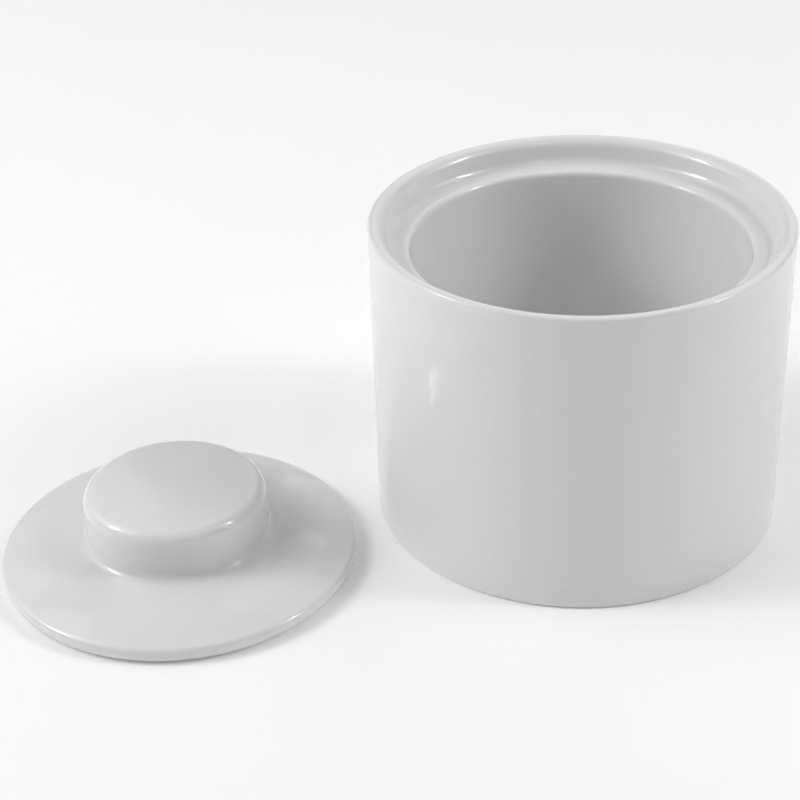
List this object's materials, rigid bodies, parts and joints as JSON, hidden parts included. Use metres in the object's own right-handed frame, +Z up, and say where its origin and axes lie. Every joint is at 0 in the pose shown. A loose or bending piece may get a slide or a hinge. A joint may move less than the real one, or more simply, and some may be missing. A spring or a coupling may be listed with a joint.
{
  "type": "porcelain crucible",
  "caption": "Round straight-sided porcelain pot with a ledge inside its rim, and the loose domed lid with a drum knob that sits on that ledge.",
  "frame": {"origin": "centre of the pot's foot ring, on the plane the pot stands on", "axes": "+Z up along the pot's axis; the lid lies right side up on the same plane, its centre on the -X axis; the XZ plane is the plane of symmetry"},
  "size_m": [0.184, 0.095, 0.0726],
  "materials": {
    "pot_porcelain": "clear gloss glaze over white porcelain, bare ground foot ring",
    "lid_porcelain": "clear gloss glaze over white porcelain, bare ground seat ring"
  },
  "bodies": {
    "pot": {"pot_body": "pot_porcelain"},
    "lid": {"lid_with_knob": "lid_porcelain"}
  },
  "joints": [
    {"name": "lid_lift", "type": "slide", "parent": "pot", "child": "lid", "axis": [0, 0, 1], "range_m": [0, 0.09]}
  ]
}
